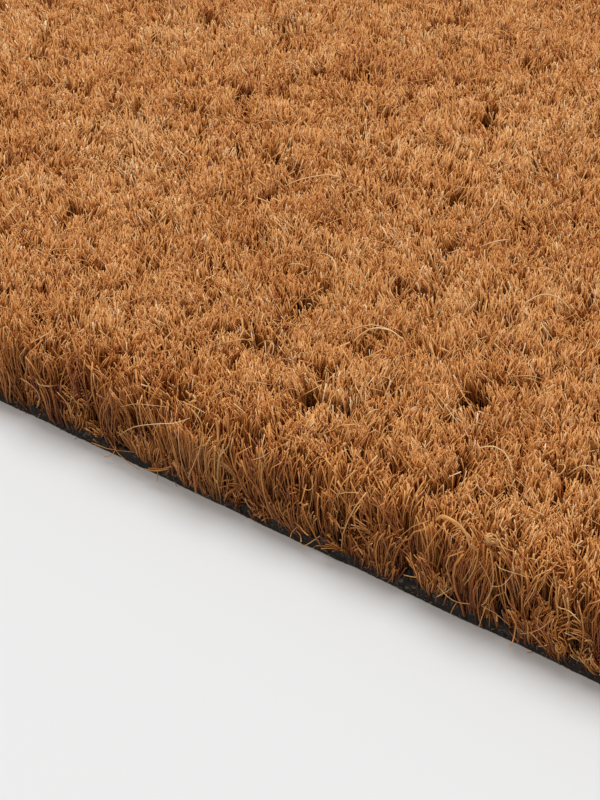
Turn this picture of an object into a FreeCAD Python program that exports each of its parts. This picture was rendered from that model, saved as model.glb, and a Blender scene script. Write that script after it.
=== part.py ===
import FreeCAD, Part
import os

# Door mat: rows of upright coir tufts, with their roots set in a PVC backing sheet.
# Millimetres. +X runs along the long side, +Y along the short side, +Z is up.
# The origin is at the middle of the underside, where the mat lies on the floor.

# ---- driving dimensions ----
mat_length = 600.0        # long side, along X
mat_width = 400.0         # short side, along Y
total_height = 17.0       # floor to the sheared top of the pile
backing_thickness = 2.5   # PVC sheet
root_depth = 1.2          # how far the tufts' feet reach down into the sheet
row_count = 54            # rows of tufts across the short side
root_width = 4.4          # a row's thickness at its foot, where the yarn is pinched by the PVC
row_gap = 0.3             # clear space left between neighbouring rows above the flare
flare_height = 6.0        # height above the sheet at which the tufts have opened out
top_round = 0.8           # bevel at the sheared top of each row

row_pitch = mat_width / row_count
row_width = row_pitch - row_gap
root_z = backing_thickness - root_depth
flare_z = backing_thickness + flare_height
bevel_z = total_height - top_round


def row_centre(i):
    return -mat_width / 2.0 + row_pitch * (i + 0.5)


def box(x0, x1, y0, y1, z0, z1):
    return Part.makeBox(x1 - x0, y1 - y0, z1 - z0, FreeCAD.Vector(x0, y0, z0))


def backing_sheet():
    """The PVC sheet, with one groove in its top for the foot of each row."""
    sheet = box(-mat_length / 2.0, mat_length / 2.0, -mat_width / 2.0, mat_width / 2.0, 0.0, backing_thickness)
    grooves = []
    for i in range(row_count):
        y = row_centre(i)
        grooves.append(box(-mat_length / 2.0 - 1.0, mat_length / 2.0 + 1.0,
                           y - root_width / 2.0, y + root_width / 2.0, root_z, backing_thickness + 1.0))
    return sheet.cut(Part.makeCompound(grooves))


def tuft_row(i):
    """One row of tufts: a straight foot in its groove, a flare above the sheet, then a block with a bevelled top."""
    y = row_centre(i)
    half_root = root_width / 2.0
    half = row_width / 2.0
    # The first and last rows stand flush with the cut edge of the sheet.
    left = half if i > 0 else row_pitch / 2.0
    right = half if i < row_count - 1 else row_pitch / 2.0
    profile = [
        (y - half_root, root_z),
        (y + half_root, root_z),
        (y + half_root, backing_thickness),
        (y + right, flare_z),
        (y + right, bevel_z),
        (y + right - top_round, total_height),
        (y - left + top_round, total_height),
        (y - left, bevel_z),
        (y - left, flare_z),
        (y - half_root, backing_thickness),
    ]
    points = [FreeCAD.Vector(-mat_length / 2.0, py, pz) for py, pz in profile]
    face = Part.Face(Part.makePolygon(points + [points[0]]))
    return face.extrude(FreeCAD.Vector(mat_length, 0.0, 0.0))


def main():
    os.makedirs("parts", exist_ok=True)
    backing = backing_sheet()
    rows = Part.makeCompound([tuft_row(i) for i in range(row_count)])
    backing.exportStep("parts/backing_sheet.step")
    rows.exportStep("parts/coir_tuft_rows.step")
    for name, shape in (("backing_sheet", backing), ("coir_tuft_rows", rows)):
        b = shape.BoundBox
        print(name, "solids", len(shape.Solids), "valid", shape.isValid(), "volume", round(shape.Volume),
              "box", [round(v, 3) for v in (b.XMin, b.YMin, b.ZMin, b.XMax, b.YMax, b.ZMax)])


main()
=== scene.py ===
import math

import bpy
import numpy as np
from mathutils import Matrix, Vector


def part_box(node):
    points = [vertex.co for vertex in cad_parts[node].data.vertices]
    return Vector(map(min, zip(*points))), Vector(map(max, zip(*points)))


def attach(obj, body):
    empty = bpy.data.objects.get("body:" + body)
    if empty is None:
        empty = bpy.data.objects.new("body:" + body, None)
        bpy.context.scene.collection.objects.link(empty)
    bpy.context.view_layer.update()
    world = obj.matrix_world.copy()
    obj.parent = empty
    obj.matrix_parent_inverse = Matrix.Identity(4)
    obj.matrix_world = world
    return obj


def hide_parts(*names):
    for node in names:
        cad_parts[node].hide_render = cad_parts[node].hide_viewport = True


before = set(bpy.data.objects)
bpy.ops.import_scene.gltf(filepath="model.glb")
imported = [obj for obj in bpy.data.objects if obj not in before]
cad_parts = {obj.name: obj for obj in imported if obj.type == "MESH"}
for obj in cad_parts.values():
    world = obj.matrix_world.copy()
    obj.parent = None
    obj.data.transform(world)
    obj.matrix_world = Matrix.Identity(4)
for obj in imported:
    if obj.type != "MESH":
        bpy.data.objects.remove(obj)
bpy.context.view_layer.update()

# Door mat of coir tufts set in a dark PVC sheet. Lengths in this script's model are in millimetres until
# a mesh is made (MM), because the fibres are easier to read at that scale. Every place comes from the CAD boxes.
MM = 0.001
sheet_lo, sheet_hi = (np.array(v, float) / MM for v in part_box("backing_sheet"))
rows_lo, rows_hi = (np.array(v, float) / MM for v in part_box("coir_tuft_rows"))
HALF_X, HALF_Y = (rows_hi[0] - rows_lo[0]) / 2, (rows_hi[1] - rows_lo[1]) / 2
MID = (rows_hi + rows_lo) / 2
SHEET = sheet_hi[2]  # top of the PVC
TOP = rows_hi[2]  # sheared top of the pile
ROWS = 54
ROW_PITCH = 2 * HALF_Y / ROWS
PER_ROW = 80
TUFT_PITCH = 2 * HALF_X / PER_ROW
rng = np.random.default_rng(20240611)

scene = bpy.context.scene


# ---------------------------------------------------------------- camera and light
ELEV, AZIM = math.radians(35.0), math.radians(36.6)
FOCAL_PX = 1873.0  # in pixels of the 600 x 800 frame
right = np.array([math.cos(AZIM), math.sin(AZIM), 0])
ahead = np.array([-math.sin(AZIM), math.cos(AZIM), 0])
up = np.array([0, 0, 1.0])
look = ahead * math.cos(ELEV) - up * math.sin(ELEV)
rise = ahead * math.sin(ELEV) + up * math.cos(ELEV)
# A point on the mat's front lower edge that the frame shows a little below its middle.
EDGE_POINT = np.array([MID[0] + 100.0, -HALF_Y + MID[1], 0.0])
DEPTH = 289.5
eye = EDGE_POINT - DEPTH * (look - rise * (144.0 / FOCAL_PX))


def seen_on(px, py, z):
    """Where the camera sees a level plane at height z, for a place in the 600 x 800 frame."""
    ray = look + right * ((px - 300) / FOCAL_PX) - rise * ((py - 400) / FOCAL_PX)
    return (eye + ray * ((z - eye[2]) / ray[2]))[:2]


def seen_side(px, py, out_by):
    """Where the camera sees an upright plane out_by millimetres in front of the mat's front edge."""
    ray = look + right * ((px - 300) / FOCAL_PX) - rise * ((py - 400) / FOCAL_PX)
    return eye + ray * ((MID[1] - HALF_Y - out_by - eye[1]) / ray[1])


cam_data = bpy.data.cameras.new("camera")
cam_data.sensor_width = 36.0
cam_data.sensor_fit = "AUTO"
cam_data.lens = FOCAL_PX / 800.0 * 36.0
cam_data.clip_start = 0.005
cam_data.clip_end = 100.0
cam = bpy.data.objects.new("camera", cam_data)
scene.collection.objects.link(cam)
cam.matrix_world = Matrix(
    [
        [right[0], rise[0], -look[0], eye[0] * MM],
        [right[1], rise[1], -look[1], eye[1] * MM],
        [right[2], rise[2], -look[2], eye[2] * MM],
        [0, 0, 0, 1],
    ]
)
scene.camera = cam

scene.view_settings.view_transform = "Standard"
scene.view_settings.look = "None"
scene.view_settings.exposure = 0.0
scene.view_settings.gamma = 1.0

FLOOR_GREY = 0.855  # what the lit floor shows
SKY = 0.46  # the soft light from all round
KEY = 2.88  # the overhead soft light, a little behind the front edge

world = bpy.data.worlds.new("studio")
world.use_nodes = True
wt = world.node_tree
wt.nodes.clear()
w_out = wt.nodes.new("ShaderNodeOutputWorld")
w_mix = wt.nodes.new("ShaderNodeMixShader")
w_path = wt.nodes.new("ShaderNodeLightPath")
w_light = wt.nodes.new("ShaderNodeBackground")
w_light.inputs["Color"].default_value = (1.0, 0.965, 0.935, 1)
w_light.inputs["Strength"].default_value = SKY
w_show = wt.nodes.new("ShaderNodeBackground")
w_show.inputs["Color"].default_value = (0.855, 0.855, 0.855, 1)
w_show.inputs["Strength"].default_value = 1.0
wt.links.new(w_path.outputs["Is Camera Ray"], w_mix.inputs[0])
wt.links.new(w_light.outputs[0], w_mix.inputs[1])
wt.links.new(w_show.outputs[0], w_mix.inputs[2])
wt.links.new(w_mix.outputs[0], w_out.inputs["Surface"])
scene.world = world

sun_data = bpy.data.lights.new("softbox", "SUN")
sun_data.energy = KEY
sun_data.angle = math.radians(42)
sun_data.color = (0.968, 0.984, 1.0)
sun = bpy.data.objects.new("softbox", sun_data)
scene.collection.objects.link(sun)
to_light = np.array([-0.14, 0.17, 1.0])
to_light /= np.linalg.norm(to_light)
sx = np.cross([0, 1, 0], to_light)
sx /= np.linalg.norm(sx)
sy = np.cross(to_light, sx)
sun.matrix_world = Matrix(
    [
        [sx[0], sy[0], to_light[0], 0],
        [sx[1], sy[1], to_light[1], 0],
        [sx[2], sy[2], to_light[2], 1],
        [0, 0, 0, 1],
    ]
)


# ---------------------------------------------------------------- mesh helpers
def new_object(name, verts, faces_list, uv=None, smooth=None):
    """verts in millimetres; faces_list holds (n, k) index arrays; uv one (n, k, 2) array for each."""
    me = bpy.data.meshes.new(name)
    me.vertices.add(len(verts))
    me.vertices.foreach_set("co", (np.asarray(verts, np.float32) * MM).ravel())
    loops = np.concatenate([f.ravel() for f in faces_list]).astype(np.int32)
    totals = np.concatenate([np.full(len(f), f.shape[1], np.int32) for f in faces_list])
    starts = np.concatenate([[0], np.cumsum(totals)[:-1]]).astype(np.int32)
    me.loops.add(len(loops))
    me.loops.foreach_set("vertex_index", loops)
    me.polygons.add(len(totals))
    me.polygons.foreach_set("loop_start", starts)
    if smooth is None:
        flags = np.ones(len(totals), bool)
    else:
        flags = np.concatenate([np.full(len(f), s) for f, s in zip(faces_list, smooth)])
    me.polygons.foreach_set("use_smooth", flags)
    if uv is not None:
        layer = me.uv_layers.new(name="OFBake")
        layer.uv.foreach_set("vector", np.concatenate([u.reshape(-1, 2) for u in uv]).astype(np.float32).ravel())
    me.update(calc_edges=True)
    ob = bpy.data.objects.new(name, me)
    scene.collection.objects.link(ob)
    return ob


def unit(v):
    return v / np.maximum(np.linalg.norm(v, axis=-1, keepdims=True), 1e-9)


def fibre_mesh(paths, radii, shade, sides=3, first_v=0.0, last_v=1.0):
    """Closed tubes of one length of point list: paths (n, k, 3), radii (n, k), shade (n,)."""
    n, k, _ = paths.shape
    tangent = np.empty_like(paths)
    tangent[:, 1:-1] = paths[:, 2:] - paths[:, :-2]
    tangent[:, 0] = paths[:, 1] - paths[:, 0]
    tangent[:, -1] = paths[:, -1] - paths[:, -2]
    tangent = unit(tangent)
    a = unit(np.cross(tangent[:, 0], unit(rng.normal(size=(n, 3)))))
    ring = np.arange(sides) * 2 * np.pi / sides
    verts = np.empty((n, k, sides, 3), np.float32)
    for i in range(k):
        a = unit(a - (a * tangent[:, i]).sum(1, keepdims=True) * tangent[:, i])
        b = np.cross(tangent[:, i], a)
        off = np.cos(ring)[None, :, None] * a[:, None] + np.sin(ring)[None, :, None] * b[:, None]
        verts[:, i] = paths[:, i, None] + off * radii[:, i, None, None]
    base = (np.arange(n) * k * sides)[:, None, None]
    i, s = np.arange(k - 1)[None, :, None], np.arange(sides)[None, None, :]
    s2 = (s + 1) % sides
    quads = np.stack(
        [base + i * sides + s, base + i * sides + s2, base + (i + 1) * sides + s2, base + (i + 1) * sides + s], -1
    ).reshape(-1, 4)
    ends = np.arange(n)[:, None] * k * sides
    low = ends + np.arange(sides)[::-1][None]
    high = ends + (k - 1) * sides + np.arange(sides)[None]
    # The map runs across a narrow strip at the fibre's shade, and up from its root to its tip.
    step = np.concatenate([[0], np.linalg.norm(np.diff(paths, axis=1), axis=2).mean(0).cumsum()])
    v = first_v + (last_v - first_v) * step / step[-1]
    v = 0.02 + 0.96 * v
    wide = 0.008
    left = shade[:, None, None] - wide + 2 * wide * s / sides
    nxt = shade[:, None, None] - wide + 2 * wide * (s + 1) / sides
    v0 = np.broadcast_to(v[:-1][None, :, None], (n, k - 1, sides))
    v1 = np.broadcast_to(v[1:][None, :, None], (n, k - 1, sides))
    left = np.broadcast_to(left, (n, k - 1, sides))
    nxt = np.broadcast_to(nxt, (n, k - 1, sides))
    quad_uv = np.stack(
        [np.stack([left, v0], -1), np.stack([nxt, v0], -1), np.stack([nxt, v1], -1), np.stack([left, v1], -1)], -2
    ).reshape(-1, 4, 2)
    spin = np.stack([np.cos(ring), np.sin(ring)], -1) * wide
    cap = lambda at: np.stack([shade[:, None] + spin[None, :, 0], np.full((n, sides), at) + spin[None, :, 1]], -1)
    return verts.reshape(-1, 3), quads, np.concatenate([low, high]), quad_uv, np.concatenate([cap(0.015), cap(0.985)])


class Bag:
    """Fibres gathered for one piece, of several point counts."""

    def __init__(self):
        self.verts, self.quads, self.caps, self.quad_uv, self.cap_uv, self.count = [], [], [], [], [], 0

    def add(self, paths, radii, shade, sides=3, first_v=0.0, last_v=1.0):
        if not len(paths):
            return
        v, q, c, qu, cu = fibre_mesh(paths, radii, shade, sides, first_v, last_v)
        self.verts.append(v)
        self.quads.append(q + self.count)
        self.caps.append(c + self.count)
        self.quad_uv.append(qu)
        self.cap_uv.append(cu)
        self.count += len(v)

    def piece(self, name, material):
        faces, uv, smooth = [np.concatenate(self.quads)], [np.concatenate(self.quad_uv)], [True]
        for sides in (3, 4, 5, 6):  # caps by their number of corners
            got = [(c, u) for c, u in zip(self.caps, self.cap_uv) if c.shape[1] == sides]
            if got:
                faces.append(np.concatenate([c for c, _ in got]))
                uv.append(np.concatenate([u for _, u in got]))
                smooth.append(False)
        ob = new_object(name, np.concatenate(self.verts), faces, uv, smooth)
        ob.data.materials.append(material)
        return ob


def bezier(p0, p1, p2, p3, t):
    t = np.asarray(t)[None, :, None]
    s = 1 - t
    return s**3 * p0[:, None] + 3 * s * s * t * p1[:, None] + 3 * s * t * t * p2[:, None] + t**3 * p3[:, None]


def smoothstep(x, lo, hi):
    t = np.clip((x - lo) / (hi - lo), 0, 1)
    return t * t * (3 - 2 * t)


# ---------------------------------------------------------------- materials
def principled(name):
    m = bpy.data.materials.new(name)
    m.use_nodes = True
    nt = m.node_tree
    return m, nt, nt.nodes["Principled BSDF"]


def node(nt, kind, **sets):
    n = nt.nodes.new(kind)
    for key, value in sets.items():
        if key.startswith("in_"):
            n.inputs[key[3:].replace("_", " ")].default_value = value
        else:
            setattr(n, key, value)
    return n


def maths(nt, op, a, b=None, clamp=False):
    n = nt.nodes.new("ShaderNodeMath")
    n.operation, n.use_clamp = op, clamp
    for i, x in enumerate((a, b)):
        if x is None:
            continue
        if isinstance(x, (int, float)):
            n.inputs[i].default_value = x
        else:
            nt.links.new(x, n.inputs[i])
    return n.outputs[0]


def ramp(nt, fac, stops, interpolation="LINEAR"):
    n = nt.nodes.new("ShaderNodeValToRGB")
    n.color_ramp.interpolation = interpolation
    e = n.color_ramp.elements
    while len(e) > 1:
        e.remove(e[-1])
    e[0].position, e[0].color = stops[0][0], (*stops[0][1], 1)
    for p, c in stops[1:]:
        x = e.new(p)
        x.color = (*c, 1)
    nt.links.new(fac, n.inputs[0])
    return n.outputs[0]


def mix(nt, kind, fac, a, b):
    n = nt.nodes.new("ShaderNodeMix")
    n.data_type, n.blend_type = "RGBA", kind
    for sock, x in ((n.inputs[0], fac), (n.inputs[6], a), (n.inputs[7], b)):
        if isinstance(x, (int, float)):
            sock.default_value = x
        elif isinstance(x, tuple):
            sock.default_value = (*x, 1)
        else:
            nt.links.new(x, sock)
    return n.outputs[2]


def srgb(r, g, b):
    f = lambda c: c / 12.92 if c <= 0.04045 else ((c + 0.055) / 1.055) ** 2.4
    return tuple(f(x / 255.0) for x in (r, g, b))


def coir_material(name, stops, painted_root_shade=0.5, roughness=0.55):
    """Colour by the fibre's own map: tone across it, and along it from root to tip painted shade, darker at the root,
    and a painted highlight, lighter at the tip, with streaks and bands along the strand.
    """
    m, nt, bsdf = principled(name)
    uv = node(nt, "ShaderNodeUVMap", uv_map="OFBake").outputs[0]
    sep = node(nt, "ShaderNodeSeparateXYZ")
    nt.links.new(uv, sep.inputs[0])
    u, v = sep.outputs[0], sep.outputs[1]
    base = ramp(nt, u, stops)
    scale = node(nt, "ShaderNodeMapping")
    scale.inputs["Scale"].default_value = (60.0, 5.0, 1.0)
    nt.links.new(uv, scale.inputs["Vector"])
    streak = node(nt, "ShaderNodeTexNoise", in_Scale=1.0, in_Detail=3.0, in_Roughness=0.6)
    nt.links.new(scale.outputs[0], streak.inputs["Vector"])
    streaked = mix(nt, "MULTIPLY", 1.0, base, ramp(nt, streak.outputs[0], [(0.25, (0.72, 0.62, 0.46)), (0.75, (1.11, 1.14, 1.20))]))
    # Painted shade along the fibre: darker and redder towards the root, where the pile shades it, up to a painted
    # highlight, lighter and cooler, at the tip. The argument after the stops sets how dark the root is.
    along = ramp(
        nt,
        v,
        [
            (0.0, (painted_root_shade * 0.78, painted_root_shade * 0.52, painted_root_shade * 0.22)),
            (0.45, (0.38 + painted_root_shade * 0.5, 0.27 + painted_root_shade * 0.5, 0.08 + painted_root_shade * 0.5)),
            (0.76, (0.88, 0.80, 0.66)),
            (0.97, (1.05, 1.07, 1.14)),
        ],
    )
    colour = mix(nt, "MULTIPLY", 1.0, streaked, along)
    nt.links.new(colour, bsdf.inputs["Base Color"])
    bsdf.inputs["Roughness"].default_value = roughness
    bsdf.inputs["Specular IOR Level"].default_value = 0.45
    return m


COIR_STOPS = [
    (0.00, srgb(124, 58, 20)),
    (0.12, srgb(164, 92, 35)),
    (0.30, srgb(205, 135, 62)),
    (0.55, srgb(222, 160, 89)),
    (0.75, srgb(233, 181, 117)),
    (0.90, srgb(240, 206, 157)),
    (1.00, srgb(244, 220, 182)),
]
coir = coir_material("coir_fibre", COIR_STOPS)
stray_coir = coir_material("coir_stray_fibre", COIR_STOPS, painted_root_shade=0.9, roughness=0.48)


# ---------------------------------------------------------------- where the pile is close to the camera
margin = [seen_on(-20, -25, TOP), seen_on(620, -25, TOP), seen_on(625, 705, 0), seen_on(-20, 395, 0)]
poly = np.array(margin)


def outside_by(p):
    """Distance in millimetres outside the seen part of the mat; negative inside it."""
    best = np.full(len(p), -1e9)
    area = 0.0
    for i in range(4):
        a, b = poly[i], poly[(i + 1) % 4]
        area += a[0] * b[1] - a[1] * b[0]
    turn = 1.0 if area > 0 else -1.0
    for i in range(4):
        a, b = poly[i], poly[(i + 1) % 4]
        e = (b - a) / np.linalg.norm(b - a)
        n = np.array([e[1], -e[0]]) * turn
        best = np.maximum(best, (p - a) @ n)
    return best


NEAR_DENSITY, FAR_DENSITY = 4.1, 1.02  # fibres per square millimetre
NEAR_D, FAR_D = 0.220, 0.5  # usual fibre diameter


def detail_at(p):
    """0 where the pile is closest to the camera, up to 0.35 in the seen part furthest from it, and 1 away from it."""
    away = (np.column_stack([p, np.full(len(p), TOP)]) - eye) @ look
    return np.maximum(smoothstep(outside_by(p), 2.0, 58.0), 0.35 * smoothstep(away, 300.0, 410.0))


# ---------------------------------------------------------------- tufts
jj, ii = np.meshgrid(np.arange(ROWS), np.arange(PER_ROW), indexing="ij")
jj, ii = jj.ravel(), ii.ravel()
row_shift = rng.uniform(-0.5, 0.5, ROWS)
tx = MID[0] - HALF_X + TUFT_PITCH * (ii + 0.5 + 0.5 * row_shift[jj] * 0.8) + rng.normal(0, 0.6, len(ii))
ty = MID[1] - HALF_Y + ROW_PITCH * (jj + 0.5) + rng.normal(0, 0.5, len(ii))
EDGE_KEEP = 2.4
tx = np.clip(tx, MID[0] - HALF_X + EDGE_KEEP, MID[0] + HALF_X - EDGE_KEEP)
ty = np.clip(ty, MID[1] - HALF_Y + EDGE_KEEP, MID[1] + HALF_Y - EDGE_KEEP)
tufts = np.stack([tx, ty], 1)
far = detail_at(tufts)
T = len(tufts)


def field(p, scale, seed, octaves=2):
    """A smooth random field over the mat, about -1 to 1."""
    r = np.random.default_rng(seed)
    out = np.zeros(len(p))
    for o in range(octaves):
        for _ in range(7):
            w = r.normal(size=2) / scale * (1.8**o)
            out += np.sin(p @ w * 2 * np.pi * 0.5 + r.uniform(0, 2 * np.pi)) * 0.38 / (1.6**o)
    return out


tuft_lean = rng.normal(0, 0.5, (T, 2)) + np.stack([field(tufts, 26, 5), field(tufts, 26, 6)], 1) * 0.3
tuft_high = rng.normal(0, 0.17, T) + field(tufts, 60, 7) * 0.12
tuft_shade = rng.normal(0, 0.045, T) + field(tufts, 40, 8) * 0.04
tuft_twist = rng.normal(0, 0.22, T)
tuft_open = rng.normal(1.24, 0.09, T)
tuft_phase = rng.uniform(0, 1, T)
# Each tuft is ten locks of fibres that lean and end together.
LOCKS = 10
lock_dir = rng.normal(0, 0.25, (T, LOCKS, 2))
lock_high = rng.normal(0, 0.17, (T, LOCKS))
lock_shade = rng.normal(0, 0.05, (T, LOCKS))

cell = TUFT_PITCH * ROW_PITCH
per_tuft = cell * (NEAR_DENSITY + (FAR_DENSITY - NEAR_DENSITY) * far) * rng.normal(1.0, 0.08, T).clip(0.75, 1.25)
counts = np.round(per_tuft).astype(int)
whose = np.repeat(np.arange(T), counts)
N = len(whose)
farness = far[whose]

ang = rng.uniform(0, 2 * np.pi, N)
rad = np.sqrt(rng.uniform(0, 1, N))
lock = (np.floor((ang / (2 * np.pi) + tuft_phase[whose]) * 5).astype(int) % 5) + 5 * (rad > 0.62)
square = 1 + 0.13 * np.sin(2 * ang) ** 2
root_off = np.stack([np.cos(ang) * rad * 3.2, np.sin(ang) * rad * 3.05], 1) * square[:, None]
root = tufts[whose] + root_off
root[:, 0] = np.clip(root[:, 0], MID[0] - HALF_X + 0.15, MID[0] + HALF_X - 0.15)
root[:, 1] = np.clip(root[:, 1], MID[1] - HALF_Y + 0.15, MID[1] + HALF_Y - 0.15)


def columns(at):
    """How full a cut side is at a distance along it: bundles about one tuft apart, with gaps between."""
    place = np.stack([at, np.zeros(len(at))], 1)
    return np.cos(2 * np.pi * at / (TUFT_PITCH * 0.8) + 2.2 * field(place, 30, 31)) + 0.9 * field(place, 2.2, 32)


# Distance inside each cut edge.
def inside_edges(p):
    return np.stack(
        [p[:, 0] - (MID[0] - HALF_X), MID[0] + HALF_X - p[:, 0], p[:, 1] - (MID[1] - HALF_Y), MID[1] + HALF_Y - p[:, 1]], 1
    )


# The gaps run a few millimetres into the pile.
fill = np.ones(N)
depth_in = inside_edges(root)
for side, along in enumerate(([0, -1.0], [0, 1.0], [1.0, 0], [-1.0, 0])):
    gap = smoothstep(-columns((root - MID[:2]) @ np.array(along)), 0.30, 0.95)
    fill *= 1 - 0.88 * gap * (1 - smoothstep(depth_in[:, side], 1.8, 4.6))
stay = rng.uniform(0, 1, N) < fill
whose, farness, ang, rad, lock, root_off, root = (v[stay] for v in (whose, farness, ang, rad, lock, root_off, root))
N = len(whose)

tw = tuft_twist[whose]
turned = np.stack(
    [root_off[:, 0] * np.cos(tw) - root_off[:, 1] * np.sin(tw), root_off[:, 0] * np.sin(tw) + root_off[:, 1] * np.cos(tw)], 1
)
spread = turned * tuft_open[whose][:, None]
wild = rng.uniform(0, 1, N) < 0.20
bend = lock_dir[whose, lock]
tip_xy = (
    tufts[whose] + spread + tuft_lean[whose] + bend * 2.2 + rng.normal(0, 0.55, (N, 2)) + wild[:, None] * rng.normal(0, 1.5, (N, 2))
)

# Where the fibres stand further apart they splay more, so that the sheet doesn't show between them from above.
splay = smoothstep(farness, 0.30, 1.0) * (1 - np.exp(-inside_edges(root).min(1).clip(0, None) / 4.0))
tip_xy += splay[:, None] * np.random.default_rng(77).normal(0, 3.4, (N, 2))

# Near a cut edge the tips lean out across it.
to_edge = inside_edges(tip_xy)
out_dirs = np.array([[-1, 0], [1, 0], [0, -1], [0, 1]], float)
push = np.zeros((N, 2))
for side in range(4):
    push += out_dirs[side] * (np.exp(-np.clip(to_edge[:, side], 0, None) / 2.6) * rng.gamma(2.0, 0.30, N))[:, None]
tip_xy += push
near_edge = np.exp(-np.clip(to_edge.min(1), 0, None) / 2.0)

height = TOP + tuft_high[whose] + lock_high[whose, lock] + rng.normal(0, 0.20, N) - 0.50 * rad**2 - near_edge * 1.0
short = rng.uniform(0, 1, N) < 0.12
height -= short * rng.uniform(0.4, 4.5, N)
tall = rng.uniform(0, 1, N) < 0.03
height += tall * rng.uniform(0.2, 1.1, N)

p0 = np.column_stack([root, np.full(N, SHEET - 0.5)])
p3 = np.column_stack([tip_xy, height])
lift = height - SHEET
tilt = (tip_xy - root) / lift[:, None]
tip_dir = tilt + bend * 1.2 + rng.normal(0, 0.44, (N, 2)) + wild[:, None] * rng.normal(0, 0.9, (N, 2))
tip_len = rng.uniform(0.14, 0.34, N) * lift
p2 = p3 - np.column_stack([tip_dir * tip_len[:, None], tip_len])
p1 = p0 + np.column_stack([rng.normal(0, 0.45, (N, 2)) + (tip_xy - root) * 0.12, lift * rng.uniform(0.28, 0.42, N)])

diameter = (NEAR_D + (FAR_D - NEAR_D) * farness) * np.exp(rng.normal(0, 0.26, N))
thick = (rng.uniform(0, 1, N) < 0.010) & ~wild
diameter = np.where(thick, diameter * rng.uniform(1.8, 2.6, N), diameter)


def shades(n, middle, lean=0.0):
    """Mostly golden brown, with a few straw-pale and a few red-brown strands."""
    sh = middle + lean + rng.normal(0, 0.12, n)
    roll = rng.uniform(0, 1, n)
    sh = np.where(roll < 0.09, sh + rng.uniform(0.15, 0.40, n), sh)
    sh = np.where(roll > 0.92, sh - rng.uniform(0.15, 0.36, n), sh)
    return sh.clip(0.02, 0.98)


# Each tuft's tone differs at random. Away from the camera the difference grows up to twice as much, which is painted
# shade standing in for the dark gaps between tufts.
shade = shades(N, 0.50, tuft_shade[whose] * (1 + 1.0 * farness) + lock_shade[whose, lock])
# Fibres rooted within a few millimetres of a cut edge are toned darker. This is painted shade on the shoulder and cut
# side, which are out of the overhead light.
shade = (shade - 0.22 * np.exp(-inside_edges(root).min(1) / 5.0)).clip(0.02, 0.98)

# ---------------------------------------------------------------- the pile's patches
edge_fibre = inside_edges(root).min(1) < 6.5
roll = rng.uniform(0, 1, N)
steps_of = np.where((roll < 0.12) | (wild & (roll < 0.6)), 3, 2)
steps_of = np.where(rng.uniform(0, 1, N) < smoothstep(farness, 0.2, 0.75), 1, steps_of)
steps_of = np.where(edge_fibre & (farness < 0.5), 5, steps_of)
steps_of = np.where(edge_fibre & (farness >= 0.5), 2, steps_of)
LAYS = {1: [0, 1.0], 2: [0, 0.79, 1.0], 3: [0, 0.62, 0.86, 1.0], 5: [0, 0.25, 0.5, 0.7, 0.86, 1.0]}
tris_of = {k: (len(t) - 1) * 6 + 2 for k, t in LAYS.items()}
weight = np.vectorize(tris_of.get)(steps_of)
tuft_weight = np.bincount(whose, weight, T)
MOST = 190_000


def split(members):
    if tuft_weight[members].sum() <= MOST:
        return [members]
    p = tufts[members]
    axis = int(np.ptp(p[:, 1]) > np.ptp(p[:, 0]))
    order = members[np.argsort(p[:, axis], kind="stable")]
    w = np.cumsum(tuft_weight[order])
    cut = int(np.searchsorted(w, w[-1] / 2))
    return split(order[:cut]) + split(order[cut:])


patches = split(np.arange(T))
patch_of_tuft = np.empty(T, int)
for i, members in enumerate(patches):
    patch_of_tuft[members] = i
patch = patch_of_tuft[whose]
pieces = []
for i in range(len(patches)):
    bag = Bag()
    for steps, lay in LAYS.items():
        pick = np.flatnonzero((patch == i) & (steps_of == steps))
        if not len(pick):
            continue
        path = bezier(p0[pick], p1[pick], p2[pick], p3[pick], lay)
        path[..., 2] = np.maximum(path[..., 2], 0.4)
        taper = 1.0 - 0.22 * np.asarray(lay)[None, :] ** 3
        # Where the fibres stand further apart, more of each is in the light, so they're toned down to match the dense part.
        far_kind = steps == 1
        tone = (shade[pick] + 0.05 * far_kind).clip(0.02, 0.98)
        bag.add(path, diameter[pick][:, None] / 2 * taper, tone, first_v=0.10 * far_kind, last_v=1.0 - 0.2 * far_kind)
    pieces.append(bag.piece(f"pile_patch_{i + 1:02d}", coir))
print("fibres", N, "patches", len(patches), "triangles", int(weight.sum()))

# ---------------------------------------------------------------- the cut edge: standing and bent-out fibres
sides_of_mat = [
    ("front", np.array([0, -1.0]), np.array([1.0, 0]), HALF_X, HALF_Y),
    ("back", np.array([0, 1.0]), np.array([-1.0, 0]), HALF_X, HALF_Y),
    ("right", np.array([1.0, 0]), np.array([0, 1.0]), HALF_Y, HALF_X),
    ("left", np.array([-1.0, 0]), np.array([0, -1.0]), HALF_Y, HALF_X),
]


def hold_out(path, out, reach, most):
    """Keeps what stands out over an edge within most millimetres of it, softly."""
    dist = (path[..., :2] - MID[:2]) @ out - reach
    held = np.where(dist > 0, most * np.tanh(dist / most), dist)
    path[..., :2] += (held - dist)[..., None] * out
    path[..., 2] = np.maximum(path[..., 2], 0.3)
    return path


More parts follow.
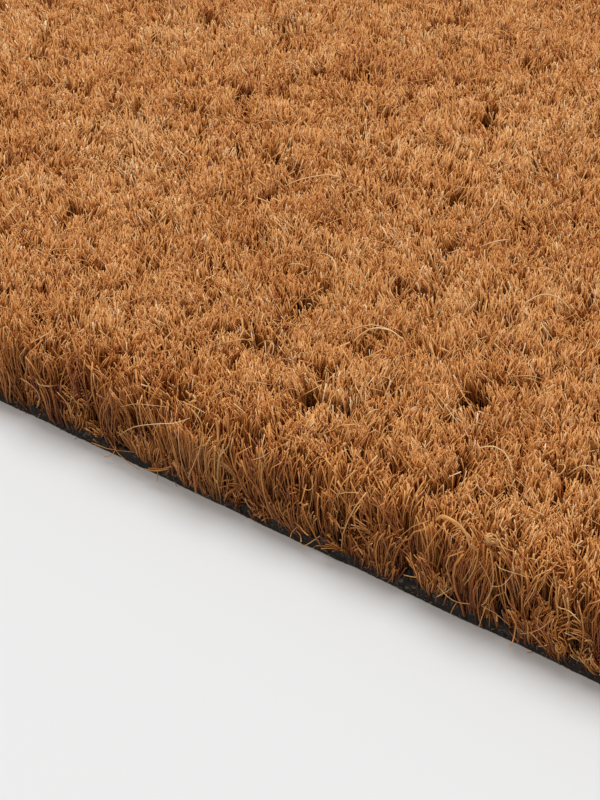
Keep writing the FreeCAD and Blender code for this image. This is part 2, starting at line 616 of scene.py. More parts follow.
edge_pieces, edge_total = [], 0
for name, out, along, half, reach in sides_of_mat:
    bag = Bag()

    def lay_in(p, q, r_, t_, d, sh, f, most, first_v=0.0):
        """Adds fibres with more points where the camera is close."""
        for sel, lay in ((f < 0.5, [0, 0.2, 0.42, 0.64, 0.82, 1.0]), (f >= 0.5, [0, 0.5, 1.0])):
            path = hold_out(bezier(p[sel], q[sel], r_[sel], t_[sel], lay), out, reach, most)
            bag.add(path, d[sel][:, None] / 2 * (1.0 - 0.2 * np.asarray(lay)[None] ** 2), sh[sel], first_v=first_v)

    # Tufts cut short along the edge: their ends stand up and out at a third to two thirds of the height.
    at = np.cumsum(rng.gamma(2.2, 1.25, int(half * 2.2))) - half + 1.0
    at = at[at < half - 1.0]
    centre = MID[:2] + along * at[:, None] + out * (reach - rng.uniform(0.1, 1.0, len(at)))[:, None]
    f = detail_at(centre)
    wide = rng.uniform(0.8, 2.3, len(at))
    m_ = np.round(wide * rng.uniform(22, 38, len(at)) * (1 - 0.70 * f)).astype(int).clip(3)
    clumps = np.sort(at), wide[np.argsort(at)]
    own = np.repeat(np.arange(len(at)), m_)
    n = len(own)
    ff = f[own]
    top = rng.choice([0, 1], len(at), p=[0.65, 0.35])
    z3 = (SHEET + np.where(top, rng.uniform(7, 11.5, len(at)), rng.uniform(2.0, 7.5, len(at)))[own] + rng.normal(0, 0.7, n)).clip(SHEET + 0.8, TOP - 1)
    w = rng.uniform(0, 2 * np.pi, n)
    rr = np.sqrt(rng.uniform(0, 1, n))
    across, depth = np.cos(w) * rr * wide[own], np.sin(w) * rr * 0.7
    start = centre[own] + along * across[:, None] + out * depth[:, None]
    c_side, c_out = rng.normal(0, 1.5, len(at))[own], rng.uniform(0.6, 2.4, len(at))[own]
    go = (across * 0.80 + c_side + rng.normal(0, 0.6, n))[:, None] * along + (c_out + depth * 0.6 + rng.normal(0, 0.35, n))[:, None] * out
    h = (z3 - SHEET)[:, None]
    over = ((start - MID[:2]) @ out) > reach - 0.35
    q0 = np.column_stack([start, SHEET - np.where(over, rng.gamma(1.5, 0.42, n).clip(0, 1.8), 0.3)])
    q3 = np.column_stack([start + go, z3])
    q1 = q0 + np.column_stack([go * rng.uniform(0.1, 0.8, n)[:, None], h * 0.35])
    curl = rng.normal(0, 0.55, (n, 2)) + (rng.normal(0, 0.55, (len(at), 2)))[own]
    q2 = q3 - np.column_stack([(go / np.maximum(h, 2.0) + curl) * h * 0.35, h * rng.uniform(0.15, 0.4, n)[:, None]])
    d = (NEAR_D * 0.99 + (FAR_D - NEAR_D) * 0.75 * ff) * np.exp(rng.normal(0, 0.28, n))
    # These ends are toned darker than the pile (0.32 against 0.50). This is painted shade on the cut side, which is out
    # of the overhead light. The spread between clumps is random.
    lay_in(q0, q1, q2, q3, d, shades(n, 0.32, rng.normal(0, 0.10, len(at))[own]), ff, 2.4, 0.10)
    # Standing fibres of the tufts that the cut went through, thicker in columns one tuft apart.
    n = int(2 * half * 10.5)
    at = rng.uniform(-half + 0.3, half - 0.3, n)
    at = at[rng.uniform(0, 1, n) < 0.36 + 0.50 * columns(at)]
    inn = rng.uniform(-0.15, 1.9, len(at))
    base = MID[:2] + along * at[:, None] + out * (reach - inn)[:, None]
    f = detail_at(base)
    nearest = np.searchsorted(clumps[0], at).clip(1, len(clumps[0]) - 1)
    nearest -= np.abs(clumps[0][nearest - 1] - at) < np.abs(clumps[0][nearest] - at)
    behind = (np.abs(clumps[0][nearest] - at) < clumps[1][nearest] * 1.05) & (inn < 1.3)
    keep = rng.uniform(0, 1, len(at)) < (1 - 0.70 * f) * np.where(behind, 0.22, 1.0)
    at, base, f, inn = at[keep], base[keep], f[keep], inn[keep]
    n = len(at)
    group = np.floor(at / 1.8 + rng.normal(0, 0.10, n)).astype(int) + 3 * (inn > 0.9)
    heart = rng.uniform(-0.4, 0.4, 2000)[group] + (np.floor(at / 1.8) + 0.5) * 1.8
    base += along * ((heart - at) * 0.50)[:, None]
    g_shade = rng.normal(0, 0.10, 2000)[group]
    g_lean = rng.normal(0, 2.6, 2000)[group]
    g_out = rng.gamma(1.6, 0.40, 2000)[group]
    g_top = rng.normal(0, 1.6, 2000)[group]
    g_bow = rng.gamma(1.4, 0.6, 2000)[group]
    # The outermost ones come out of the cut face itself, so the sheet's upper line is ragged.
    low = np.where(inn < 0.35, rng.gamma(1.5, 0.42, n).clip(0, 1.9), rng.uniform(0.1, 0.9, n))
    q0 = np.column_stack([base, SHEET - low])
    z3 = (TOP - 1.0 + g_top.clip(-4, 0.5) * 0.5 - rng.gamma(1.2, 1.0, n)).clip(SHEET + 3, TOP + 0.4)
    astray = rng.uniform(0, 1, n) < 0.22
    side_go = g_lean + rng.normal(0, 0.9, n) + astray * rng.normal(0, 3.2, n)
    tip = base + along * side_go[:, None] + out * (g_out + rng.normal(0.1, 0.45, n))[:, None]
    curly = (rng.uniform(0, 1, n) < 0.22)[:, None]
    q3 = np.column_stack([tip, z3])
    bow = g_bow + rng.normal(0, 0.3, n) + astray * rng.gamma(2.0, 0.7, n)
    q1 = q0 + np.column_stack([out * (0.5 + bow)[:, None] + along * (rng.normal(0, 0.8, n) - g_lean * 0.15)[:, None], (z3 - SHEET) * rng.uniform(0.15, 0.5, n)])
    q2 = q3 - np.column_stack(
        [(along * (g_lean * 0.12 + rng.normal(0, 0.42, n))[:, None] + out * (rng.normal(0.02, 0.30, n) - 0.12 * bow)[:, None]) * 4.0, np.full(n, 4.0)]
    )
    d = (NEAR_D * 0.95 + (FAR_D - NEAR_D) * 0.75 * f) * np.exp(rng.normal(0, 0.30, n))
    d = np.where(astray, d * 0.8, d)
    d = np.where(rng.uniform(0, 1, n) < 0.045, d * rng.uniform(1.7, 3.0, n), d)
    q1[:, :2] += curly * (along * rng.normal(0, 2.0, n)[:, None] + out * rng.gamma(1.5, 0.5, n)[:, None])
    q2 += curly * np.column_stack([along * rng.normal(0, 2.6, n)[:, None] + out * rng.gamma(1.5, 0.7, n)[:, None], rng.uniform(0, 2.5, n)])
    # Toned darker than the pile (0.33 against 0.50): painted shade on the cut side, out of the overhead light.
    lay_in(q0, q1, q2, q3, d, shades(n, 0.33, astray * 0.14 + g_shade), f, 2.6)
    # A few locks bent right over, sideways and down past the backing's edge.
    at = np.cumsum(rng.gamma(2.0, 2.4, int(half))) - half + 2.0
    at = at[at < half - 2.0]
    centre = MID[:2] + along * at[:, None] + out * (reach - rng.uniform(0.2, 1.0, len(at)))[:, None]
    f = detail_at(centre)
    m_ = np.round(rng.uniform(4, 16, len(at)) * (1 - 0.6 * f)).astype(int).clip(3)
    own = np.repeat(np.arange(len(at)), m_)
    n = len(own)
    flat_dir = unit(
        out[None] * rng.uniform(0.3, 1.0, len(at))[own][:, None] + along[None] * (rng.normal(0, 0.8, len(at))[own] + rng.normal(0, 0.25, n))[:, None]
    )
    stand = (rng.uniform(0.3, 7.5, len(at))[own] + rng.normal(0, 0.4, n)).clip(0.1)
    length = rng.uniform(2.5, 6.0, len(at))[own] * rng.uniform(0.7, 1.1, n)
    th1 = (np.radians(rng.uniform(15, 70, len(at)))[own] + rng.normal(0, 0.25, n)).clip(0.05)
    th2 = th1 + np.radians(rng.uniform(25, 85, len(at)))[own] + rng.normal(0, 0.25, n)
    start = centre[own] + along * rng.normal(0, 0.7, n)[:, None] + out * rng.normal(0, 0.2, n)[:, None]
    q0 = np.column_stack([start, np.full(n, SHEET - 0.3)])
    q1 = q0 + np.column_stack([flat_dir * 0.25, stand])
    q2 = q1 + np.column_stack([flat_dir * (np.sin(th1) * length * 0.5)[:, None], np.cos(th1) * length * 0.5])
    q3 = q2 + np.column_stack([flat_dir * (np.sin(th2) * length * 0.5)[:, None], np.cos(th2) * length * 0.5])
    q3 += rng.normal(0, 0.35, (n, 3))
    d = (NEAR_D * 0.90 + (FAR_D - NEAR_D) * 0.6 * f[own]) * np.exp(rng.normal(0, 0.26, n))
    # Toned darker than the pile (0.40 against 0.50): painted shade on the cut side.
    lay_in(q0, q1, q2, q3, d, shades(n, 0.40, rng.normal(0, 0.08, len(at))[own]), f[own], 2.5, 0.2)
    piece = bag.piece(f"edge_tufts_{name}", coir)
    edge_total += 2 * len(piece.data.polygons)
    edge_pieces.append(piece)
print("edge triangles about", edge_total)

# ---------------------------------------------------------------- loose curly fibres
def curls(n, start, heading, length, points, bend, drop, roughness):
    """Random smooth walks: (n, points, 3)."""
    step = length[:, None] / (points - 1)
    turn = np.cumsum(rng.normal(0, 1, (n, points)) * roughness, 1) + np.arange(points)[None] * bend[:, None]
    yaw = heading[:, None] + turn
    pitch = drop[:, None] + np.cumsum(rng.normal(0, 0.5, (n, points)) * roughness, 1)
    d = np.stack([np.cos(yaw) * np.cos(pitch), np.sin(yaw) * np.cos(pitch), np.sin(pitch)], -1) * step[..., None]
    d[:, 0] = 0
    return start[:, None] + np.cumsum(d, 1)


def over_mat(n, keep_in):
    xy = np.stack([rng.uniform(-HALF_X + keep_in, HALF_X - keep_in, n), rng.uniform(-HALF_Y + keep_in, HALF_Y - keep_in, n)], 1)
    return xy + MID[:2]


loose = Bag()
# A few long pale strands lying across the top.
xy = over_mat(150, 6)
n = len(xy)
length = rng.gamma(3.0, 2.6, n).clip(4, 20)
pts = 13
t = np.linspace(0, 1, pts)[None]


def lay_over(path, arch):
    """Both ends go down among the tips, and the middle arches a little above them."""
    n = len(path)
    path[..., 2] = TOP - 0.9 + (arch[:, None] + 0.9) * np.sin(np.pi * t) ** 0.7 + rng.normal(0, 0.05, (n, pts))
    return path


path = curls(n, np.column_stack([xy, np.full(n, TOP)]), rng.uniform(0, 2 * np.pi, n), length, pts, rng.normal(0, 0.13, n), np.zeros(n), 0.06)
d = rng.uniform(0.14, 0.28, n)[:, None] * (1 - 0.45 * np.abs(2 * t - 1) ** 3)
loose.add(lay_over(path, rng.uniform(0.0, 1.1, n)), d / 2, rng.uniform(0.62, 0.92, n), first_v=0.6)
# The ones that stand out near the front edge: start (along X and back from the edge), heading, length, turn per step.
placed = [
    (86.0, 30.0, 1.45, 11.0, -0.12),
    (88.0, 30.5, 1.35, 9.5, -0.11),
    (66.0, 47.0, 0.9, 9.0, -0.16),
    (128.0, 15.0, 2.2, 9.0, 0.10),
    (88.0, 68.0, 0.1, 8.0, 0.14),
    (47.0, 66.0, 0.5, 12.0, 0.07),
    (140.0, 32.0, 1.2, 8.0, -0.2),
    (112.0, 60.0, 2.7, 9.0, 0.12),
]
pl = np.array(placed)
n = len(pl)
path = curls(n, np.column_stack([MID[0] + pl[:, 0], MID[1] - HALF_Y + pl[:, 1], np.full(n, TOP)]), pl[:, 2], pl[:, 3], pts, pl[:, 4], np.zeros(n), 0.02)
loose.add(lay_over(path, np.full(n, 1.2)), np.full((n, pts), 0.14), np.full(n, 0.86), first_v=0.7)

# Short bent ends among the tips, and wisps down the cut sides.
xy = over_mat(1500, 3)
near = np.random.default_rng(77).dirichlet([1, 1, 1, 1], 300) @ poly
near = near[(inside_edges(near).min(1) > 2.5)]
xy = np.concatenate([xy, near])
xy = xy[(inside_edges(xy).min(1) > 2.5)]
n = len(xy)
pts = 6
t = np.linspace(0, 1, pts)[None]
path = curls(n, np.column_stack([xy, np.full(n, TOP)]), rng.uniform(0, 2 * np.pi, n), rng.gamma(5.0, 0.85, n).clip(1.8, 9), pts, rng.normal(0, 0.34, n), np.zeros(n), 0.12)
path[..., 2] = TOP - 1.1 + (rng.uniform(0.2, 1.2, n)[:, None] + 0.7) * np.sin(np.pi * (0.08 + 0.8 * t)) ** 0.8 + rng.normal(0, 0.05, (n, pts))
loose.add(path, rng.uniform(0.13, 0.24, n)[:, None] / 2 * (1 - 0.3 * t**2), rng.uniform(0.50, 0.88, n), first_v=0.55)
for name, out, along, half, reach in sides_of_mat:
    n = int(2 * half * 0.44)
    at = rng.uniform(-half + 3, half - 3, n)
    z = rng.uniform(SHEET - 1.0, TOP - 1.5, n)
    start = np.column_stack([MID[:2] + along * at[:, None] + out * (reach + rng.uniform(-0.3, 1.1, n))[:, None], z])
    head = math.atan2(along[1], along[0]) + rng.choice([0, np.pi], n) + rng.normal(0, 0.5, n)
    path = curls(n, start, head, rng.gamma(4, 1.7, n).clip(2.5, 13), 10, rng.normal(0, 0.16, n), rng.normal(0, 0.8, n), 0.11)
    dist = (path[..., :2] - MID[:2]) @ out - reach
    fix = 1.0 + 1.6 * np.tanh((dist - 1.0) / 1.6)
    path[..., :2] += (fix - dist)[..., None] * out
    # They level out softly a little above the floor and at the pile's top.
    middle, span = (TOP + 1.0) / 2, (TOP + 0.2) / 2
    path[..., 2] = middle + span * np.tanh((path[..., 2] - middle) / span)
    d = rng.uniform(0.11, 0.25, n)
    loose.add(path, d[:, None] / 2 * np.ones((1, 10)), rng.uniform(0.45, 0.95, n), first_v=0.5)
# The strands that can be told apart on the front side: places in the frame, how far out, width, tone.
strands = [
    ([(118, 436), (134, 427), (157, 424), (175, 423), (190, 418)], 2.3, 0.20, 0.95),
    ([(120, 407), (134, 404), (150, 405), (168, 407)], 1.9, 0.16, 0.85),
    ([(436, 520), (442, 516), (452, 520), (461, 527), (467, 536), (470, 547)], 1.2, 0.62, 0.66),
    ([(497, 536), (507, 539), (518, 546), (518, 557), (515, 569), (507, 581), (500, 586), (491, 586)], 2.5, 0.16, 0.78),
    ([(479, 561), (488, 577), (491, 588), (486, 602), (482, 606), (495, 613), (509, 625)], 2.3, 0.16, 0.76),
    ([(490, 551), (493, 569), (492, 588), (484, 603)], 2.1, 0.34, 0.66),
    ([(478, 548), (477, 560), (472, 574), (464, 585)], 2.2, 0.26, 0.70),
    ([(470, 536), (474, 550), (471, 566), (462, 582)], 1.8, 0.20, 0.72),
    ([(528, 549), (537, 561), (538, 577), (533, 592), (524, 606)], 2.2, 0.20, 0.74),
    ([(542, 556), (546, 569), (544, 582), (537, 595)], 2.2, 0.20, 0.70),
    ([(553, 569), (556, 588), (557, 606), (569, 611), (581, 623)], 2.3, 0.28, 0.78),
    ([(520, 634), (533, 632), (547, 624), (552, 611)], 2.5, 0.18, 0.72),
    ([(486, 606), (482, 617), (479, 627)], 2.0, 0.20, 0.74),
    ([(457, 602), (453, 608), (450, 615)], 2.0, 0.20, 0.68),
    ([(437, 585), (447, 596), (457, 602), (470, 604)], 2.2, 0.18, 0.70),
    ([(191, 403), (201, 422), (202, 441), (195, 461), (188, 478)], 2.2, 0.30, 0.74),
    ([(182, 388), (191, 399), (199, 407), (205, 407)], 1.7, 0.20, 0.82),
    ([(188, 430), (190, 450), (189, 468)], 2.0, 0.32, 0.66),
    ([(216, 416), (218, 428), (218, 441)], 1.8, 0.62, 0.52),
    ([(236, 423), (231, 435), (228, 446), (220, 456)], 2.3, 0.17, 0.86),
    ([(222, 435), (218, 446), (208, 462), (203, 478)], 1.7, 0.34, 0.52),
    ([(316, 469), (315, 482), (310, 490), (303, 488), (304, 482)], 2.4, 0.16, 0.76),
    ([(252, 460), (262, 457), (270, 452)], 2.2, 0.18, 0.80),
    ([(290, 538), (292, 532), (297, 527)], 1.6, 0.20, 0.74),
    ([(145, 469), (157, 471), (168, 469)], 2.4, 0.30, 0.42),
    ([(148, 468), (160, 469), (172, 466)], 2.4, 0.26, 0.50),
    ([(193, 470), (195, 482), (196, 493)], 2.2, 0.70, 0.14),
    ([(300, 543), (306, 545), (320, 536)], 1.8, 0.22, 0.70),
    ([(57, 392), (66, 402), (70, 414)], 2.2, 0.22, 0.74),
    ([(20, 378), (31, 385), (39, 395), (38, 406)], 2.2, 0.20, 0.78),
]
# And the ones lying among the tips on top.
lying = [
    ([(411, 354), (403, 356), (397, 359), (396, 363), (398, 368)], 0.26, 0.85),
    ([(449, 362), (446, 371), (441, 382)], 0.22, 0.85),
    ([(438, 396), (445, 405), (452, 415), (461, 426)], 0.17, 0.95),
    ([(435, 398), (441, 407), (446, 414)], 0.19, 0.86),
    ([(512, 412), (519, 410), (528, 410), (536, 412)], 0.20, 0.76),
    ([(360, 389), (361, 396), (362, 404)], 0.28, 0.74),
    ([(374, 376), (388, 378), (395, 385)], 0.18, 0.72),
    ([(504, 387), (514, 387), (523, 393)], 0.20, 0.68),
    ([(521, 378), (531, 379), (540, 383)], 0.18, 0.76),
    ([(502, 489), (510, 485), (520, 491)], 0.20, 0.72),
    ([(514, 478), (522, 484), (528, 492)], 0.17, 0.90),
    ([(496, 452), (497, 457), (497, 463)], 0.25, 0.90),
    ([(243, 382), (256, 382), (271, 385)], 0.17, 0.86),
    ([(310, 378), (316, 384), (321, 393)], 0.18, 0.84),
    ([(228, 390), (218, 394), (208, 400)], 0.17, 0.90),
]
strands = [(spots, None, wide, tone) for spots, wide, tone in lying] + strands
for spots, out_by, wide, tone in strands:
    knots = np.array([seen_side(px, py, (out_by or 0) + 0.25 * math.sin(1.1 * i + px)) for i, (px, py) in enumerate(spots)])
    knots[:, 2] = np.clip(knots[:, 2], 0.35, TOP + 1.9)
    if out_by is None:
        z = TOP - 0.4 + 1.1 * np.sin(np.pi * np.linspace(0.04, 0.96, len(spots)))
        knots = np.array([[*seen_on(px, py, h), h] for (px, py), h in zip(spots, z)])
    ends = np.vstack([2 * knots[0] - knots[1], knots, 2 * knots[-1] - knots[-2]])
    path = []
    for a, b, c, e in zip(ends, ends[1:], ends[2:], ends[3:]):
        for u in (0.0, 0.34, 0.67):
            path.append(0.5 * (2 * b + (c - a) * u + (2 * a - 5 * b + 4 * c - e) * u**2 + (3 * b - a - 3 * c + e) * u**3))
    path.append(knots[-1])
    path = np.array(path)[None]
    t = np.linspace(0, 1, path.shape[1])[None]
    loose.add(path, wide / 2 * (1 - 0.55 * t**1.5) * (1 - 0.4 * (1 - t) ** 4), np.array([tone]), sides=5 if wide > 0.5 else 3, first_v=0.6)
# Two small knots of wound fibre on the front side.
for centre, size, tone in ((np.array([*seen_on(491, 539, TOP - 0.3), TOP - 0.3]), (0.95, 0.8, 0.78), 0.72), (seen_side(560, 647, 1.7), (0.7, 0.7, 0.95), 0.42)):
    n = 46
    side_a = unit(rng.normal(size=(n, 3)))
    side_b = unit(np.cross(side_a, np.array([0.5, 0.2, 1.0]) + rng.normal(0, 0.45, (n, 3))))
    begin = rng.uniform(0, 2 * np.pi, n)[:, None]
    turn = begin + rng.uniform(1.2, 2.6, n)[:, None] * np.linspace(0, 1, 8)[None]
    path = np.cos(turn)[..., None] * side_a[:, None] + np.sin(turn)[..., None] * side_b[:, None]
    path = centre + path * np.array(size) * rng.uniform(0.72, 1.04, n)[:, None, None]
    loose.add(path, np.full((n, 8), 0.10), (tone + rng.normal(0, 0.06, n)).clip(0.05, 0.95), first_v=0.55)
# Ends of cut roots that show in the backing's cut edge.
for name, out, along, half, reach in sides_of_mat:
    n = int(2 * half * 0.8)
    at = rng.uniform(-half + 0.5, half - 0.5, n)
    z = rng.uniform(0.35, SHEET - 0.1, n)
    start = np.column_stack([MID[:2] + along * at[:, None] + out * (reach - 0.35), z])
    go = np.column_stack([out * rng.uniform(0.3, 0.9, n)[:, None] + along * rng.normal(0, 0.45, n)[:, None], rng.normal(0.05, 0.3, n)])
    path = np.stack([start, start + go * 0.5, start + go * rng.uniform(0.6, 1.5, n)[:, None]], 1)
    path[..., 2] = np.maximum(path[..., 2], 0.15)
    loose.add(path, rng.uniform(0.09, 0.18, n)[:, None] / 2 * np.ones((1, 3)), rng.uniform(0.05, 0.45, n), first_v=0.0)
strays = loose.piece("stray_fibres", stray_coir)
print("stray faces", len(strays.data.polygons))

# ---------------------------------------------------------------- bits of husk pith
def blobs(name, where, size, material, seed):
    """Small torn lumps: a subdivided cube pulled about, squashed and turned at random."""
    r = np.random.default_rng(seed)
    g = np.linspace(-1, 1, 4)
    faces, pts_list, index = [], [], {}
    for axis in range(3):
        for sgn in (-1, 1):
            for a in range(3):
                for b in range(3):
                    quad = []
                    order = [(a, b), (a + 1, b), (a + 1, b + 1), (a, b + 1)]
                    if sgn < 0:
                        order.reverse()
                    for ca, cb in order:
                        p = [0.0, 0.0, 0.0]
                        p[axis] = sgn
                        p[(axis + 1) % 3] = g[ca]
                        p[(axis + 2) % 3] = g[cb]
                        key = tuple(round(x, 3) for x in p)
                        if key not in index:
                            index[key] = len(pts_list)
                            pts_list.append(p)
                        quad.append(index[key])
                    faces.append(quad)
    cube = unit(np.array(pts_list))
    faces = np.array(faces)
    verts, quads = [], []
    for i, (c, s) in enumerate(zip(where, size)):
        q = unit(r.normal(size=(3, 3)))
        q, _ = np.linalg.qr(q)
        if np.linalg.det(q) < 0:
            q[:, 0] *= -1
        lump = cube * (1 + r.normal(0, 0.22, (len(cube), 1))) * np.array([1, r.uniform(0.4, 0.75), r.uniform(0.2, 0.5)])
        verts.append(lump @ q.T * s + c)
        quads.append(faces + i * len(cube))
    ob = new_object(name, np.concatenate(verts), [np.concatenate(quads)])
    ob.data.materials.append(material)
    return ob


m, nt, bsdf = principled("husk_pith")
tc = node(nt, "ShaderNodeTexCoord").outputs["Object"]
pn = node(nt, "ShaderNodeTexNoise", in_Scale=900.0, in_Detail=4.0)
nt.links.new(tc, pn.inputs["Vector"])
big = node(nt, "ShaderNodeTexNoise", in_Scale=35.0, in_Detail=0.0)
nt.links.new(tc, big.inputs["Vector"])
tone = ramp(nt, big.outputs[0], [(0.35, srgb(104, 46, 34)), (0.5, srgb(140, 74, 44)), (0.62, srgb(214, 160, 112))])
nt.links.new(mix(nt, "MULTIPLY", 1.0, tone, ramp(nt, pn.outputs[0], [(0.3, (0.6, 0.58, 0.55)), (0.7, (1.1, 1.1, 1.1))])), bsdf.inputs["Base Color"])
bsdf.inputs["Roughness"].default_value = 0.75
pith = m
n = 150
xy = np.stack([rng.uniform(-HALF_X + 4, HALF_X - 4, n), rng.uniform(-HALF_Y + 4, HALF_Y - 4, n)], 1) + MID[:2]
extra = np.random.default_rng(4).dirichlet([1, 1, 1, 1], 16) @ poly
xy = np.concatenate([xy, extra])
xy = xy[(np.abs(xy[:, 0] - MID[0]) < HALF_X - 3) & (np.abs(xy[:, 1] - MID[1]) < HALF_Y - 3)]
where = np.column_stack([xy, TOP - rng.uniform(0.2, 1.8, len(xy))])
on_top = [np.array([*seen_on(px, py, z), z]) for px, py, z in ((491, 539, TOP - 0.5), (449, 504, TOP - 0.7), (300, 430, TOP - 0.7))]
knots = np.array([on_top[0], seen_side(560, 647, 1.6), on_top[1], on_top[2], seen_side(263, 461, 1.2)])
where = np.concatenate([where, knots])
sizes = np.concatenate([rng.uniform(0.30, 0.80, len(where) - len(knots)), [0.62, 0.6, 0.45, 0.6, 0.5]])
flecks = blobs("husk_flecks", where, sizes, pith, 3)

# ---------------------------------------------------------------- PVC backing sheet
def backing():
    """A closed sheet with a rough cut edge: fine rings round the side wall, and grids above and below."""
    inset = 6.0
    per_mm = 1.9

    def line(a, b, n):
        return np.linspace(a, b, n, endpoint=False)

    nx, ny = int(2 * HALF_X * per_mm), int(2 * HALF_Y * per_mm)
    loop = np.concatenate(
        [
            np.stack([line(-HALF_X, HALF_X, nx), np.full(nx, -HALF_Y)], 1),
            np.stack([np.full(ny, HALF_X), line(-HALF_Y, HALF_Y, ny)], 1),
            np.stack([line(HALF_X, -HALF_X, nx), np.full(nx, HALF_Y)], 1),
            np.stack([np.full(ny, -HALF_X), line(HALF_Y, -HALF_Y, ny)], 1),
        ]
    )
    count = len(loop)
    r = np.random.default_rng(12)
    s = np.arange(count) / per_mm

    def wave(amp, size, rr):
        out = np.zeros(count)
        total = count / per_mm
        for _ in range(9):
            cycles = max(1, round(total / (size * rr.uniform(0.6, 1.7))))
            out += np.sin(2 * np.pi * cycles * s / total + rr.uniform(0, 2 * np.pi))
        return out * amp / 3.0

    slow = wave(0.12, 40, r) + wave(0.05, 9, r)
    outward = np.zeros((count, 2))
    outward[:nx, 1], outward[nx : nx + ny, 0], outward[nx + ny : 2 * nx + ny, 1], outward[2 * nx + ny :, 0] = -1, 1, 1, -1
    for c in (0, nx, nx + ny, 2 * nx + ny):
        outward[c] = unit(outward[c] + outward[c - 1])
    # Rings from inside the top face, over the edge and down to inside the bottom face: (inset, height).
    rings = [
        (6.0, SHEET, 0.02, 0.03),
        (3.0, SHEET, 0.02, 0.10),
        (1.2, SHEET, 0.05, 0.12),
        (0.45, SHEET + 0.02, 0.10, 0.14),
        (0.10, SHEET - 0.15, 0.13, 0.10),
        (0.02, SHEET - 0.45, 0.14, 0.06),
        (0.06, SHEET * 0.70, 0.15, 0.05),
        (0.00, SHEET * 0.55, 0.15, 0.05),
        (0.04, SHEET * 0.42, 0.15, 0.05),
        (0.02, SHEET * 0.30, 0.12, 0.05),
        (0.05, SHEET * 0.18, 0.07, 0.04),
        (0.08, SHEET * 0.07, 0.045, 0.02),
        (0.22, 0.02, 0.03, 0.01),
        (1.5, 0.0, 0.02, 0.0),
        (6.0, 0.0, 0.0, 0.0),
    ]
    verts, quads = [], []
    for k, (inn, z, rough_xy, rough_z) in enumerate(rings):
        shift = slow * (1.0 if inn < 2 else 0.2) - inn + r.normal(0, rough_xy, count)
        xy = loop + outward * (shift - 0.12)[:, None]
        xy = np.stack([xy[:, 0].clip(-HALF_X - 0.4, HALF_X + 0.4), xy[:, 1].clip(-HALF_Y - 0.4, HALF_Y + 0.4)], 1)
        # keep the corners of inner rings inside both sides
        if inn > 0.5:
            xy[:, 0] = xy[:, 0].clip(-HALF_X + inn, HALF_X - inn)
            xy[:, 1] = xy[:, 1].clip(-HALF_Y + inn, HALF_Y - inn)
        zz = z + r.normal(0, rough_z, count) * (0.5 if z > SHEET / 2 else 1.0)
        zz = np.maximum(zz, 0.0)
        verts.append(np.column_stack([xy + MID[:2], zz]))
        if k:
            a = np.arange(count)
            b = (a + 1) % count
            quads.append(np.stack([(k - 1) * count + a, k * count + a, k * count + b, (k - 1) * count + b], 1))
    last = (len(rings) - 1) * count
    # The first and last rings' vertices, gathered as the border of a grid; the faces inside them are made further down,
    # a coarse grid and a band of triangles.
    caps = []
    for start, flip in ((0, False), (last, True)):
        # a coarse grid stitched to the ring's four corners would leave gaps, so rows run from the front side to the back
        front = start + np.arange(nx + 1)
        back = start + (2 * nx + ny - np.arange(nx + 1)) % count
        left_side = start + (count - np.arange(ny + 1)) % count
        right_side = start + nx + np.arange(ny + 1)
        grid = np.empty((ny + 1, nx + 1), int)
        grid[0], grid[-1] = front, back
        grid[:, 0], grid[:, -1] = left_side, right_side
        caps.append((grid, flip))
    return verts, quads, caps, nx, ny


verts, quads, caps, nx, ny = backing()
all_verts = np.concatenate(verts)
extra_verts, extra_quads = [], []
base_count = len(all_verts)
STRIDE = 16
for grid, flip in caps:
    # Inner rows are coarser: one band of long faces joins the fine ring to a coarse grid.
    ring_ids = np.concatenate([grid[0, :-1], grid[:-1, -1], grid[-1, :0:-1], grid[:0:-1, 0]])
    z = float(np.mean(all_verts[ring_ids, 2]))
    cx = np.linspace(-HALF_X + 6.0 + 4.0, HALF_X - 6.0 - 4.0, nx // STRIDE + 1)
    cy = np.linspace(-HALF_Y + 6.0 + 4.0, HALF_Y - 6.0 - 4.0, ny // STRIDE + 1)
    gx, gy = np.meshgrid(cx, cy)
    gz = np.full(gx.shape, z)
    if not flip:
        gz = gz + np.random.default_rng(9).normal(0, 0.05, gx.shape)
    ids = base_count + np.arange(gx.size).reshape(gx.shape)
    extra_verts.append(np.stack([gx + MID[0], gy + MID[1], gz], -1).reshape(-1, 3))
    base_count += gx.size
    a, b, c, d = ids[:-1, :-1], ids[:-1, 1:], ids[1:, 1:], ids[1:, :-1]
    q = np.stack([a, b, c, d], -1).reshape(-1, 4)
    if flip:
        q = q[:, ::-1]
    extra_quads.append(q)
    inner = np.concatenate([ids[0, :-1], ids[:-1, -1], ids[-1, :0:-1], ids[:0:-1, 0]])
    # Join ring (fine) to inner (coarse) with triangles, walking round both by their share of the way.
    n_out, n_in = len(ring_ids), len(inner)
    po = np.concatenate([np.arange(nx) / nx, 1 + np.arange(ny) / ny, 2 + np.arange(nx) / nx, 3 + np.arange(ny) / ny])
    mx, my = len(cx) - 1, len(cy) - 1
    pi = np.concatenate([np.arange(mx) / mx, 1 + np.arange(my) / my, 2 + np.arange(mx) / mx, 3 + np.arange(my) / my])
    i = o = 0
    tri = []
    while o < n_out or i < n_in:
        next_o = po[o + 1] if o + 1 < n_out else 4.0
        next_i = pi[i + 1] if i + 1 < n_in else 4.0
        if o < n_out and (i >= n_in or next_o <= next_i):
            tri.append((ring_ids[o], ring_ids[(o + 1) % n_out], inner[i % n_in]))
            o += 1
        else:
            tri.append((ring_ids[o % n_out], inner[(i + 1) % n_in], inner[i % n_in]))
            i += 1
    tri = np.array(tri)
    if flip:
        tri = tri[:, ::-1]
    extra_quads.append(tri)
all_verts = np.concatenate([all_verts, *extra_verts])
groups = {}
for q in [*quads, *extra_quads]:
    groups.setdefault(q.shape[1], []).append(q)
faces = [np.concatenate(v) for _, v in sorted(groups.items())]
back_piece = new_object("pvc_backing", all_verts, faces)

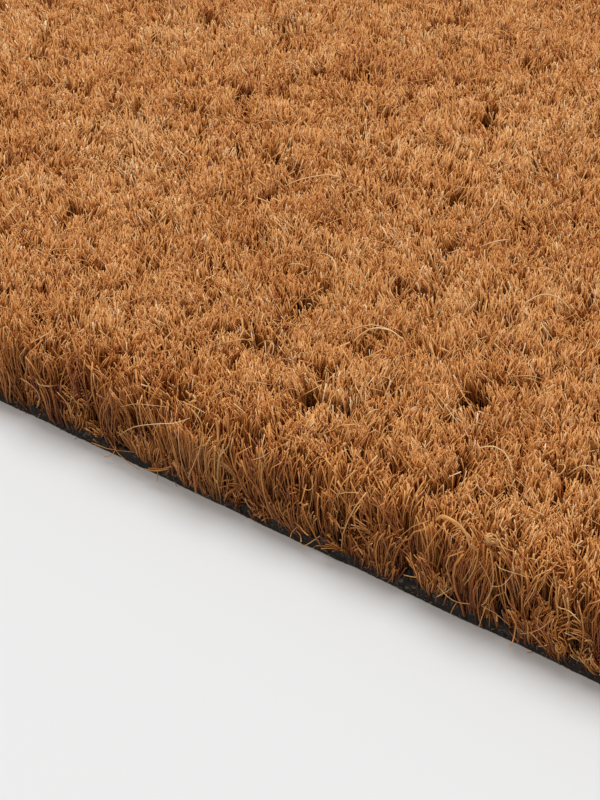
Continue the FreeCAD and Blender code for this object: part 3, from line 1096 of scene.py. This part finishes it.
m, nt, bsdf = principled("pvc_charcoal")
tc = node(nt, "ShaderNodeTexCoord").outputs["Object"]
soft = node(nt, "ShaderNodeTexNoise", in_Scale=120.0, in_Detail=3.0)
grain = node(nt, "ShaderNodeTexNoise", in_Scale=1500.0, in_Detail=3.0, in_Roughness=0.6)
fleck = node(nt, "ShaderNodeTexNoise", in_Scale=1900.0, in_Detail=1.0)
patchy = node(nt, "ShaderNodeTexNoise", in_Scale=420.0, in_Detail=1.0)
for t_ in (soft, grain, fleck, patchy):
    nt.links.new(tc, t_.inputs["Vector"])
dark_tone = ramp(nt, soft.outputs[0], [(0.3, (0.0125, 0.0098, 0.0080)), (0.7, (0.026, 0.0205, 0.0165))])
grained = mix(nt, "MULTIPLY", 1.0, dark_tone, ramp(nt, grain.outputs[0], [(0.3, (0.55, 0.55, 0.55)), (0.7, (1.7, 1.7, 1.7))]))
spot = maths(nt, "MULTIPLY", ramp(nt, fleck.outputs[0], [(0.57, (0, 0, 0)), (0.64, (1, 1, 1))]), ramp(nt, patchy.outputs[0], [(0.40, (0, 0, 0)), (0.58, (1, 1, 1))]))
nt.links.new(mix(nt, "MIX", maths(nt, "MULTIPLY", spot, 0.75), grained, (0.17, 0.135, 0.10)), bsdf.inputs["Base Color"])
rough = ramp(nt, grain.outputs[0], [(0.3, (0.55, 0.55, 0.55)), (0.7, (0.80, 0.80, 0.80))])
nt.links.new(rough, bsdf.inputs["Roughness"])
bump = node(nt, "ShaderNodeBump", in_Strength=0.5, in_Distance=0.0002)
nt.links.new(grain.outputs[0], bump.inputs["Height"])
nt.links.new(bump.outputs[0], bsdf.inputs["Normal"])
bsdf.inputs["Specular IOR Level"].default_value = 0.28
back_piece.data.materials.append(m)
pvc = m

# ---------------------------------------------------------------- floor
floor = new_object("floor", np.array([[-9000, -9000, -0.05], [9000, -9000, -0.05], [9000, 9000, -0.05], [-9000, 9000, -0.05]]), [np.array([[0, 1, 2, 3]])])
m, nt, bsdf = principled("floor_pale")
# Painted light: the floor glows with a warm emission of its own, which lightens the mat's shadow on it.
lift = np.array([0.150, 0.135, 0.122])  # the photo's floor was whitened, which also lifts its shadow; warm
lit = np.array([1.0, 0.965, 0.935]) * SKY + np.array(sun_data.color) * KEY * to_light[2] / math.pi
bsdf.inputs["Base Color"].default_value = (*((FLOOR_GREY - lift) / lit), 1)
bsdf.inputs["Emission Color"].default_value = (*lift, 1)
bsdf.inputs["Emission Strength"].default_value = 1.0
bsdf.inputs["Roughness"].default_value = 0.9
bsdf.inputs["Specular IOR Level"].default_value = 0.0
floor.data.materials.append(m)

# ---------------------------------------------------------------- what each piece is
for p in [*pieces, *edge_pieces, strays, flecks]:
    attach(p, "root")
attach(back_piece, "root")
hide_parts("backing_sheet")
for p in pieces:
    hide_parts("coir_tuft_rows")
